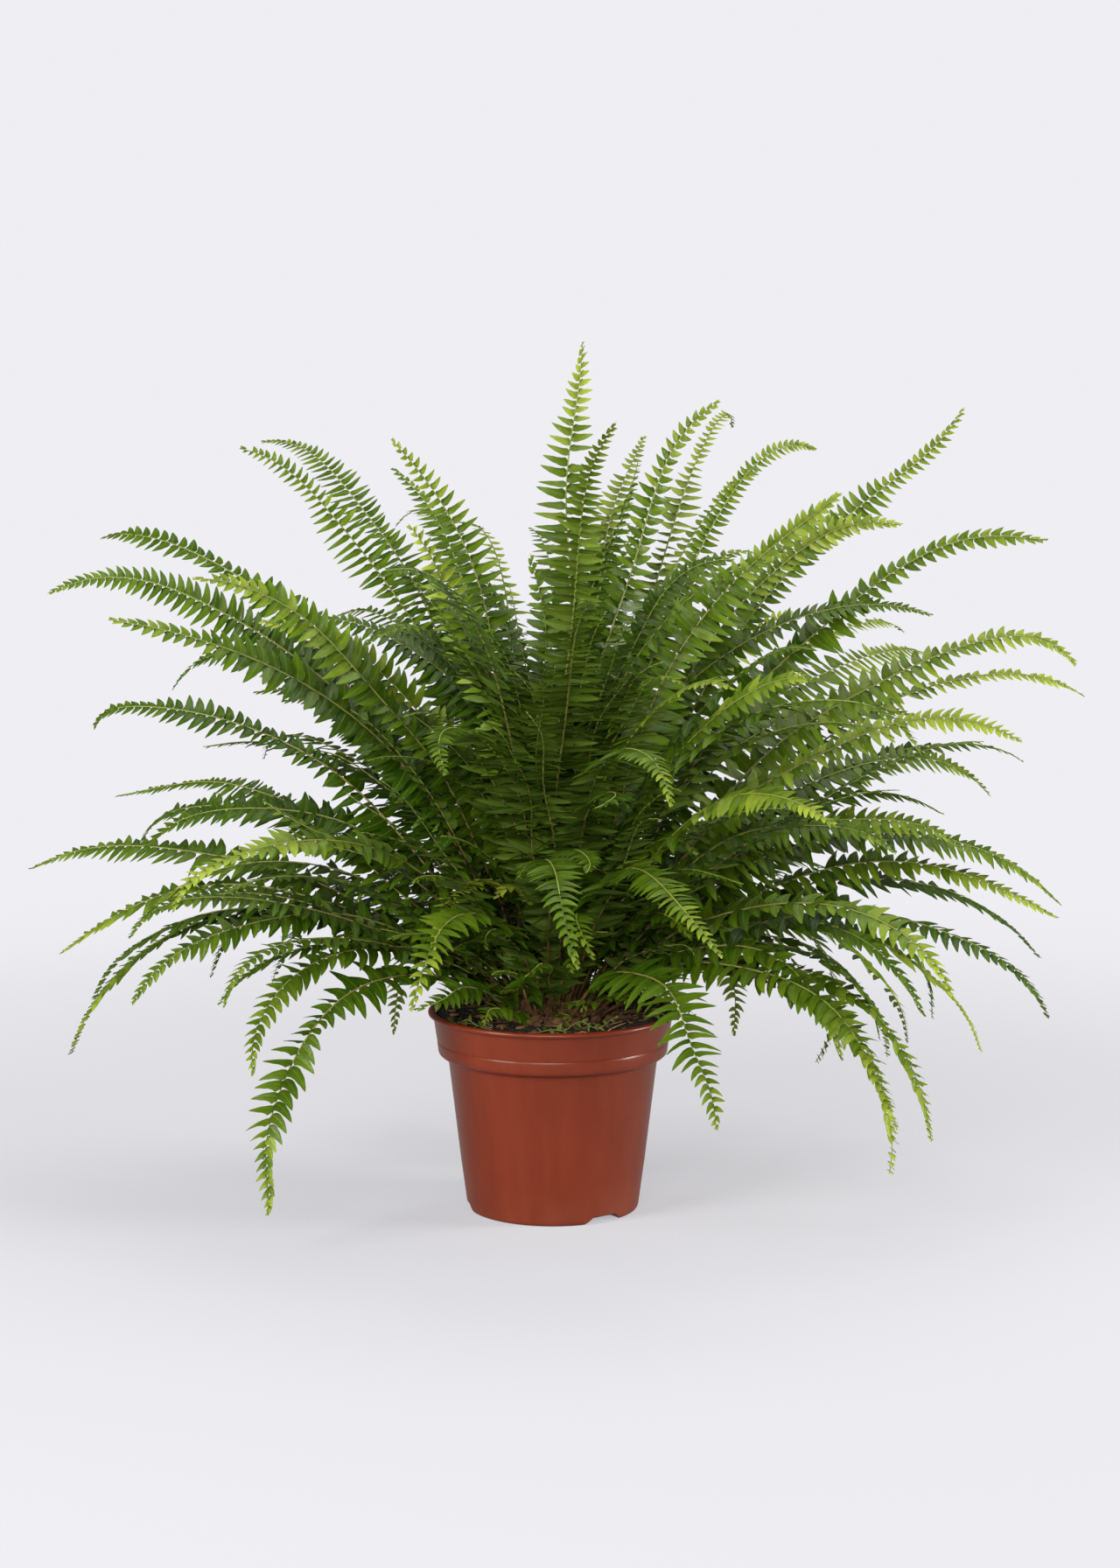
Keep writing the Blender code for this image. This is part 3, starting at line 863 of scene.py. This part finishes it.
def notchBlock(angle, grow):
    # a wedge across the base's edge, wider at the floor than at its roof
    radius, height = pot["baseRadius"], pot["notchHeight"] + grow
    bm = bmesh.new()
    bmesh.ops.create_cube(bm, size=1.0)
    for vert in bm.verts:
        upper = vert.co.z > 0
        width = pot["notchRoof"] if upper else 2 * pot["notchWidth"] - pot["notchRoof"]
        vert.co.x = radius - pot["notchDepth"] - grow if vert.co.x < 0 else radius + 0.02
        vert.co.y *= width + 2 * grow
        vert.co.z = height if upper else -height
    uprights = [edge for edge in bm.edges if abs(edge.verts[0].co.z - edge.verts[1].co.z) > height]
    bmesh.ops.bevel(
        bm, geom=uprights, offset=0.0015, offset_type="OFFSET", segments=3, profile=0.5,
        affect="EDGES", material=-1,
    )
    bmesh.ops.rotate(bm, verts=bm.verts, matrix=Matrix.Rotation(math.radians(angle), 3, "Z"))
    return bm


def drainHole(angle):
    bm = bmesh.new()
    radius, depth = pot["drainHole"], pot["notchHeight"]
    bmesh.ops.create_cone(bm, cap_ends=True, segments=32, radius1=radius, radius2=radius, depth=depth)
    middle = Vector((pot["baseRadius"] - pot["notchDepth"] / 2, 0.0, pot["notchHeight"]))
    turn = Matrix.Rotation(math.radians(angle), 4, "Z")
    bmesh.ops.transform(bm, verts=bm.verts, matrix=turn @ Matrix.Translation(middle))
    return bm


def subtract(solid, cutters):
    # cuts a list of bmeshes out of a bmesh with exact booleans
    body = addObject("solid", toMesh("solid", solid))
    names = [f"cutter_{number}" for number in range(len(cutters))]
    tools = [addObject(name, toMesh(name, cutter)) for name, cutter in zip(names, cutters)]
    for tool in tools:
        cut = body.modifiers.new(tool.name, "BOOLEAN")
        cut.operation = "DIFFERENCE"
        cut.object = tool
    bm = bmesh.new()
    bm.from_object(body, bpy.context.evaluated_depsgraph_get())
    for item in [body] + tools:
        data = item.data
        bpy.data.objects.remove(item)
        bpy.data.meshes.remove(data)
    return bm


def makePotMaterial():
    material, wires = newMaterial("potPlastic", 0.36, 0.42)
    place = wires.place()
    broad = wires.noise(place, 22.0)
    # long upright streaks, as the plastic flowed up the mould
    stretch = wires.add("ShaderNodeMapping")
    wires.feed(stretch.inputs["Scale"], (90.0, 90.0, 5.0))
    wires.feed(stretch.inputs["Vector"], place)
    streaks = wires.noise(stretch.outputs[0], 1.0, 2.0)
    fine = wires.noise(place, 1500.0, 2.0)
    clay = wires.blend(broad, *pot["plastic"])
    clay = wires.blend(wires.times(streaks, 0.30), clay, pot["streak"])
    # pale dust and lime gather low on the wall
    height = wires.add("ShaderNodeSeparateXYZ")
    wires.feed(height.inputs[0], place)
    low = wires.times(height.outputs[2], -22.0, 0.75, clamp=True)
    dust = wires.times(low, wires.calc("POWER", broad, 2.0))
    wires.skin("Base Color", wires.blend(wires.times(dust, 0.25), clay, pot["dust"]))
    wires.skin("Roughness", wires.times(dust, 0.4, wires.times(streaks, 0.10, 0.25)))
    wires.bump(wires.times(streaks, 0.6, wires.times(fine, 0.25)), 0.16, 0.0004)
    return material


def makePot():
    notches = pot["notchAngles"]
    blocks = [notchBlock(angle, pot["wall"]) for angle in notches]
    cutters = [subtract(spinProfile(potCavity(), pot["segments"]), blocks)]
    for angle in notches:
        cutters += [notchBlock(angle, 0.0), drainHole(angle)]
    bm = subtract(spinProfile(potOutline(), pot["segments"]), cutters)
    piece = newPiece("pot_moulded", bm, [makePotMaterial()], "pot_plastic", ["pot"])
    piece.data.set_sharp_from_angle(angle=math.radians(40))


makePot()
print("pot moulded")


soil = {
    "rings": 34,
    "segments": 120,
    "lump": 0.0016,
    "bank": 0.0095,          # how far the peat rises at the pot's wall
    "straws": 46,
    "peat": ((0.004, 0.0026, 0.0015), (0.022, 0.0135, 0.006), 0.85),
    "bark": ((0.016, 0.008, 0.0035), (0.22, 0.110, 0.042), 0.8),
    "straw": ((0.11, 0.06, 0.022), (0.46, 0.34, 0.15), 0.7),
    # strewn over it: count, size, distance from the middle and from the wall, how far it
    # stands out, stretch along x, y and z, tilt, and the spread and strength of its tint
    "crumbs": (900, (0.0012, 0.0042), 0.02, 0.0, 0.12, ((0.8, 1.5), 1.0, (0.5, 0.9)), 0.6, 2, 0.8),
    "chips": (130, (0.004, 0.0105), 0.03, 0.004, 0.10, (1.0, (0.3, 0.6), (0.12, 0.25)), 0.45, 1.5, 1.0),
}
soilWall = potHigh.x - pot["lip"] - pot["wall"] - 0.0022
soilEdge = soilWall - 0.002


def soilHeight(x, y):
    radius = math.hypot(x, y)
    fall = min(max((radius - crownHigh.x) / (soilWall - crownHigh.x), 0.0), 1.0)
    level = mix(crownLow.z - 0.0063, crownLow.z - 0.0003, math.cos(fall * math.pi / 2))
    lumps = noise.noise(Vector((x, y, 0.0)) * 95.0) + 0.6 * noise.noise(Vector((x, y, 0.3)) * 260.0)
    # peat is banked up against the wall, but for the front where the plant is watered
    behind = ease(-0.9, -0.45, y / max(radius, 1e-6))
    bank = soil["bank"] * ease(0.55, 0.95, radius / soilWall) * behind
    return level + bank + soil["lump"] * lumps


def makeEarthGrain():
    # flecks between two colours, with a dull and crumbly face
    group = bpy.data.node_groups.new("earthGrain", "ShaderNodeTree")
    inputs = {"Place": "Vector", "Tint": "Float", "Dark": "Color", "Light": "Color", "Dullness": "Float"}
    outputs = {"Color": "Color", "Roughness": "Float", "Height": "Float"}
    for way, sockets in (("INPUT", inputs), ("OUTPUT", outputs)):
        for name, kind in sockets.items():
            group.interface.new_socket(name, in_out=way, socket_type="NodeSocket" + kind)
    wires = Wiring(group)
    given, made = wires.add("NodeGroupInput").outputs, wires.add("NodeGroupOutput").inputs
    grain = wires.noise(given["Place"], 420.0, 6.0, 0.7)
    shade = wires.times(given["Tint"], 0.75, wires.times(grain, 0.9, -0.2), clamp=True)
    wires.feed(made["Color"], wires.blend(shade, given["Dark"], given["Light"]))
    wires.feed(made["Roughness"], wires.times(grain, 0.35, given["Dullness"]))
    wires.feed(made["Height"], grain)
    return group


earthGrain = makeEarthGrain()


def makeGroundMaterial(name, dark, light, roughness):
    material, wires = newMaterial(name, roughness)
    grain = wires.add("ShaderNodeGroup", node_tree=earthGrain)
    given = (wires.place(), wires.onPoint("tint"), dark, light, roughness - 0.18)
    for socket, value in zip(grain.inputs, given):
        wires.feed(socket, value)
    wires.skin("Base Color", grain.outputs["Color"])
    wires.skin("Roughness", grain.outputs["Roughness"])
    wires.bump(grain.outputs["Height"], 0.8, 0.0012)
    return material


def makeSoil(peat):
    floor, surface, fit = 0.0085, 0.16, 0.0006
    cavity = potCavity()
    profile = [(soilWall * ring / soil["rings"], surface) for ring in range(soil["rings"] + 1)]
    profile += [(cavity[k][0] - fit, cavity[k][1]) for k in (5, 7)]
    profile += [(cavity[8][0] - fit, floor), (0.0, floor)]
    bm = spinProfile(profile, soil["segments"])
    for vert in bm.verts:
        if vert.co.z > surface - 0.005:
            vert.co.z = soilHeight(vert.co.x, vert.co.y)
    tint = [0.25] * len(bm.verts)
    newPiece("soil_surface", bm, [peat], "potting_soil", ["soil"], tint=tint)


def onSoil(rng, inner, outer):
    turn = rng.uniform(0, math.tau)
    radius = math.sqrt(rng.uniform(inner * inner, outer * outer))
    x, y = radius * math.cos(turn), radius * math.sin(turn)
    return Vector((x, y, soilHeight(x, y)))


def randomTurn(rng, tilt):
    turn = Matrix.Rotation(rng.uniform(0, math.tau), 4, "Z")
    turn = turn @ Matrix.Rotation(rng.uniform(-tilt, tilt), 4, "X")
    return turn @ Matrix.Rotation(rng.uniform(-tilt, tilt), 4, "Y")


def roughened(name, bm, scale, amount):
    for vert in bm.verts:
        vert.co += noise.noise_vector(vert.co * scale) * amount
    return toMesh(name, bm)


def chipShape():
    bm = bmesh.new()
    bmesh.ops.create_cube(bm, size=1.0)
    bmesh.ops.subdivide_edges(bm, edges=bm.edges[:], cuts=1, use_grid_fill=True)
    return roughened("chip", bm, 2.3, 0.22)


def crumbShape():
    bm = bmesh.new()
    bmesh.ops.create_icosphere(bm, subdivisions=1, radius=0.5)
    return roughened("crumb", bm, 3.1, 0.16)


def strew(rng, name, shape, material, row):
    count, sizes, middle, margin, proud, stretch, tilt, spread, strength = row
    bm, tints = bmesh.new(), []
    for _ in range(count):
        size = rng.uniform(*sizes)
        place = onSoil(rng, middle, soilEdge - margin) + worldUp * size * proud
        sides = [size * (rng.uniform(*pair) if isinstance(pair, tuple) else pair) for pair in stretch]
        matrix = Matrix.Translation(place) @ randomTurn(rng, tilt) @ Matrix.Diagonal((*sides, 1.0))
        added = addCopy(bm, shape, matrix)
        tints += [rng.random() ** spread * strength] * added
    newPiece(name, bm, [material], "potting_soil", tint=tints)


def layStraws(rng):
    bm, tints = bmesh.new(), []
    for _ in range(soil["straws"]):
        place = onSoil(rng, 0.04, soilEdge - 0.014)
        turn, length = rng.uniform(0, math.tau), rng.uniform(0.010, 0.034)
        radius = rng.uniform(0.00022, 0.0006)
        points = []
        for k in range(5):
            along = (k / 4 - 0.5) * length
            bend = 0.12 * length * math.sin(k * 0.9 + turn)
            x = place.x + along * math.cos(turn) - bend * math.sin(turn)
            y = place.y + along * math.sin(turn) + bend * math.cos(turn)
            if math.hypot(x, y) < soilEdge:
                points.append(Vector((x, y, soilHeight(x, y) + radius + 0.0007)))
        if len(points) > 2:
            tints += [rng.random()] * addTube(bm, points, [radius] * len(points), 5)
    straw = makeGroundMaterial("dryStalks", *soil["straw"])
    newPiece("dry_stalks", bm, [straw], "potting_soil", tint=tints)


def makeMulch(peat):
    rng = random.Random(77)
    bark = makeGroundMaterial("barkChips", *soil["bark"])
    strew(rng, "peat_crumbs", crumbShape(), peat, soil["crumbs"])
    strew(rng, "bark_chips", chipShape(), bark, soil["chips"])
    layStraws(rng)


dampPeat = makeGroundMaterial("dampPeat", *soil["peat"])
makeSoil(dampPeat)
makeMulch(dampPeat)
print("soil laid")


crown = {
    "knobs": 34,
    "flakes": 620,
    "stubs": 46,
    "runnerFlakes": 160,
    "roots": 16,
    "chaff": ((0.020, 0.010, 0.004), (0.22, 0.105, 0.034), 0.75),
    "youngFronds": [
        # heading, reach, height, rise, roll, youth of the little fronds at the soil
        (292, 0.082, 0.186, 40, 10, 0.55),
        (310, 0.098, 0.190, 36, 20, 0.60),
        (276, 0.078, 0.176, 28, 0, 0.50),
        (334, 0.112, 0.184, 36, 10, 0.70),
        (246, 0.086, 0.196, 48, -14, 0.40),
        (228, 0.092, 0.200, 46, -20, 0.45),
        (260, 0.070, 0.205, 64, -8, 0.50),
        (4, 0.104, 0.206, 44, 16, 0.60),
        (176, 0.096, 0.200, 42, -14, 0.40),
        (302, 0.066, 0.214, 66, 12, 0.50),
    ],
    # seedlings that lie on the soil: foot and tip across the pot, and the tip's height
    "sporelings": [
        ((-0.020, -0.082), (0.054, -0.078), 0.004),
        ((0.070, -0.034), (0.121, -0.050), 0.012),
        ((-0.050, -0.070), (-0.088, -0.046), 0.006),
    ],
}


def flakeShape():
    # a pointed scale: a flattened cone lying along +Z
    bm = bmesh.new()
    bmesh.ops.create_cone(bm, cap_ends=True, segments=4, radius1=0.5, radius2=0.0, depth=1.0)
    bmesh.ops.translate(bm, verts=bm.verts, vec=(0.0, 0.0, 0.5))
    bmesh.ops.scale(bm, verts=bm.verts, vec=(1.0, 0.3, 1.0))
    return toMesh("flake", bm)


def addAimed(bm, shape, place, direction, spin, across, length):
    # puts a shape down with its +Z along a direction
    turn = direction.to_track_quat("Z", "Y").to_matrix().to_4x4() @ Matrix.Rotation(spin, 4, "Z")
    matrix = Matrix.Translation(place) @ turn @ Matrix.Diagonal((across, across, length, 1.0))
    return addCopy(bm, shape, matrix)


def onCrown(rng, low=0.05, high=1.35):
    turn, rise = rng.uniform(0, math.tau), rng.uniform(low, high)
    return crownSurface(turn, rise), heads(turn, rise)


def makeCrown(chaff):
    rng = random.Random(5)
    bm = bmesh.new()
    bmesh.ops.create_icosphere(bm, subdivisions=5, radius=1.0)
    radius, height = crownHigh.x, crownHigh.z - crownLow.z
    for vert in bm.verts:
        bumps = 0.90 + 0.10 * noise.noise(vert.co * 5.0) + 0.06 * noise.noise(vert.co * 13.0)
        x, y, z = vert.co
        vert.co = Vector((x * radius, y * radius, max(z, -0.25) * height)) * bumps
        vert.co.z += crownLow.z
    tints = [0.15] * len(bm.verts)
    knob, flake = crumbShape(), flakeShape()
    for _ in range(crown["knobs"]):
        place, out = onCrown(rng)
        size = rng.uniform(0.006, 0.013)
        count = addAimed(bm, knob, place - out * 0.002, out, rng.uniform(0, 6), size, size * 1.5)
        tints += [rng.uniform(0.1, 0.6)] * count
    for _ in range(crown["flakes"]):
        place, out = onCrown(rng, 0.0, 1.5)
        direction = (out + worldUp * rng.uniform(0.2, 1.4)).normalized()
        direction += Vector([rng.uniform(-0.4, 0.4) for _ in range(3)])
        length = rng.uniform(0.005, 0.013)
        spin = rng.uniform(0, 6)
        count = addAimed(bm, flake, place, direction.normalized(), spin, length * 0.26, length)
        tints += [rng.random()] * count
    for _ in range(crown["stubs"]):
        place, out = onCrown(rng, 0.2, 1.4)
        direction = out + worldUp * 0.5 + Vector([rng.uniform(-0.3, 0.3) for _ in range(3)])
        move = direction.normalized() * rng.uniform(0.012, 0.055)
        points = [place + move * k / 4 + worldUp * 0.002 * k * k / 16 for k in range(5)]
        count = addTube(bm, points, [mix(0.0017, 0.0009, k / 4) for k in range(5)])
        tints += [rng.uniform(0.2, 0.9)] * count
    newPiece("crown_scales", bm, [chaff], "rhizome", ["crown"], tint=tints)


def readRunner():
    # middles of the six rings of the CAD runner, from the crown outwards
    bm = bmesh.new()
    bm.from_mesh(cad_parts["runner"].data)
    bmesh.ops.remove_doubles(bm, verts=bm.verts, dist=1e-6)
    corners = sorted((vert.co.copy() for vert in bm.verts), key=lambda co: co.to_2d().length)
    bm.free()
    group = len(corners) // 6
    return [sum(corners[k * group:(k + 1) * group], Vector()) / group for k in range(6)]


def makeRunner(chaff):
    rng = random.Random(8)
    points = Line(readRunner(), [worldUp] * 6, [0.0028] * 6).points[::2]
    last = len(points)
    radii = [0.0026 * (1.0 + 0.16 * math.sin(k * 1.9)) * (1.0 - 0.45 * k / last) for k in range(last)]
    bm, flake = bmesh.new(), flakeShape()
    tints = [0.2] * addTube(bm, points, radii, 10)
    for _ in range(crown["runnerFlakes"]):
        k = rng.randrange(1, last)
        along = (points[k] - points[k - 1]).normalized()
        out = along.orthogonal().normalized()
        out.rotate(Matrix.Rotation(rng.uniform(0, math.tau), 3, along))
        length = rng.uniform(0.003, 0.007)
        direction = (out + along * rng.uniform(0.2, 1.5)).normalized()
        place = points[k] + out * radii[k] * 0.8
        count = addAimed(bm, flake, place, direction, rng.uniform(0, 6), length * 0.2, length)
        tints += [rng.random()] * count
    newPiece("runner_scales", bm, [chaff], "rhizome", ["runner"], tint=tints)


def makeSmallGrowth():
    bm, values = bmesh.new(), noValues()
    for number, row in enumerate(crown["youngFronds"]):
        rng = random.Random(300 + number)
        line = growLine(*row[:5], rng.uniform(-20, 20), 1.5)
        line.halves = [min(half, 0.0095) for half in line.halves]
        line.widest = max(line.halves)
        look = {"size": 0.4, "young": row[5], "tip": 0.2, "spacing": 0.0066, "bare": 0.18}
        addFrond(bm, line, rng, look, values)
    look = {"size": 0.35, "young": 0.45, "tip": 0.2, "spacing": 0.0105, "bare": 0.12}
    look.update(fill=0.34, bend=0)
    for number, (foot, tip, rise) in enumerate(crown["sporelings"]):
        rng = random.Random(500 + number)
        shares = [k / 6 for k in range(7)]
        foot, tip = Vector((*foot, crownLow.z + 0.003)), Vector((*tip, crownLow.z + 0.003 + rise))
        level = Vector((foot.y - tip.y, tip.x - foot.x, 0.0)).normalized()
        side = (level * 0.5 + worldUp * 0.85).normalized()
        halves = [0.0070 * (1.0 - 0.8 * share ** 3) for share in shares]
        line = Line([mix(foot, tip, share) for share in shares], [side] * 7, halves)
        addFrond(bm, line, rng, look, values)
    finishFronds("young_fronds", bm, values)


def makeRoots(chaff):
    # wiry black roots that stray over the soil
    rng = random.Random(12)
    bm = bmesh.new()
    for number in range(crown["roots"]):
        turn = math.radians((number * 137.5 + 20) % 360)
        start = crownSurface(turn, 0.1).to_2d().length
        length = rng.uniform(0.03, 0.052)
        points = []
        for k in range(9):
            share = k / 8
            radius = min(start + length * share, soilWall - 0.003)
            angle = turn + rng.uniform(-0.03, 0.03) + 0.35 * share * math.sin(number)
            x, y = radius * math.cos(angle), radius * math.sin(angle)
            hop = 0.004 * math.sin(share * math.pi) * rng.uniform(0.2, 1.0)
            points.append(Vector((x, y, soilHeight(x, y) + 0.0012 + hop)))
        addTube(bm, points, [mix(0.0006, 0.00025, k / 8) for k in range(9)], 5)
    newPiece("wiry_roots", bm, [chaff], "rhizome", tint=[0.1] * len(bm.verts))


chaffyRhizome = makeGroundMaterial("chaffyRhizome", *crown["chaff"])
makeCrown(chaffyRhizome)
makeRunner(chaffyRhizome)
makeRoots(chaffyRhizome)
makeSmallGrowth()
print("crown, runner and small growth made")


studio = {
    "cameraAt": (0.006, -3.0, 0.786),
    "downTilt": 8.07,
    "lens": 83.4,
    "backdrop": (0.863, 0.855, 0.896),
    "floorPaint": (0.500, 0.509, 0.585),
    "floorBounce": (0.48, 0.47, 0.48),
    "floorGlow": (0.35, 1.7, 0.5),      # from and to this distance, and its least share
    "glowOnPlant": 0.32,
    "ambient": 0.15,
    "warmth": (1.0, 0.975, 0.87),
    "lightsAim": (0.0, 0.0, 0.32),
    # place, width and height, watts
    "softboxes": {
        "keyLeft": ((-2.3, -1.9, 1.5), (1.3, 2.2), 122.0),
        "keyRight": ((2.85, -0.35, 0.95), (0.9, 1.8), 112.0),
        "front": ((-0.3, -3.5, 1.3), (2.0, 1.4), 80.0),
        "top": ((0.5, 0.7, 3.2), (2.4, 1.8), 50.0),
    },
}


def makeFloorMaterial():
    # a light table: half paint, half glow near the plant, and only glow farther out
    material, wires = newMaterial("floorPaint", 0.85, 0.2)
    seen = wires.add("ShaderNodeLightPath").outputs["Is Camera Ray"]
    wires.skin("Base Color", wires.blend(seen, studio["floorBounce"], studio["floorPaint"]))
    distance = wires.add("ShaderNodeVectorMath", operation="LENGTH")
    wires.feed(distance.inputs[0], wires.place())
    far = wires.add("ShaderNodeMapRange", interpolation_type="SMOOTHERSTEP")
    for name, value in zip(("From Min", "From Max", "To Min"), studio["floorGlow"]):
        wires.feed(far.inputs[name], value)
    wires.feed(far.inputs["Value"], distance.outputs["Value"])
    glow = wires.add("ShaderNodeEmission")
    wires.feed(glow.inputs["Color"], studio["backdrop"])
    least = studio["glowOnPlant"]
    wires.feed(glow.inputs["Strength"], wires.times(seen, 1.0 - least, least))
    wires.twoShaders(far.outputs[0], wires.nodes["Principled BSDF"], glow)
    return material


def makeFloor():
    bm = bmesh.new()
    bmesh.ops.create_grid(bm, x_segments=1, y_segments=1, size=150.0)
    floor = addObject("floor", toMesh("floor", bm))
    floor.data.materials.append(makeFloorMaterial())


def makeBackdrop():
    # it is seen at its full brightness but lights the plant more gently
    world = bpy.data.worlds.new("studio")
    world.use_nodes = True
    wires = Wiring(world.node_tree)
    background = wires.nodes["Background"].inputs
    wires.feed(background["Color"], studio["backdrop"])
    seen = wires.add("ShaderNodeLightPath").outputs["Is Camera Ray"]
    wires.feed(background["Strength"], wires.times(seen, 1.0 - studio["ambient"], studio["ambient"]))
    scene.world = world


def makeStudio():
    scene.view_settings.view_transform = "Standard"
    for name, (place, size, power) in studio["softboxes"].items():
        light = bpy.data.lights.new(name, "AREA")
        light.shape = "RECTANGLE"
        light.size, light.size_y = size
        light.energy, light.color = power, studio["warmth"]
        box = addObject(name, light)
        box.location = place
        aim = Vector(studio["lightsAim"]) - box.location
        box.rotation_euler = aim.to_track_quat("-Z", "Y").to_euler()

    camera = bpy.data.cameras.new("camera")
    camera.sensor_width, camera.lens = 36.0, studio["lens"]
    scene.camera = addObject("camera", camera)
    scene.camera.location = studio["cameraAt"]
    scene.camera.rotation_euler = (math.radians(90.0 - studio["downTilt"]), 0.0, 0.0)


makeFloor()
makeBackdrop()
makeStudio()
print("studio ready")
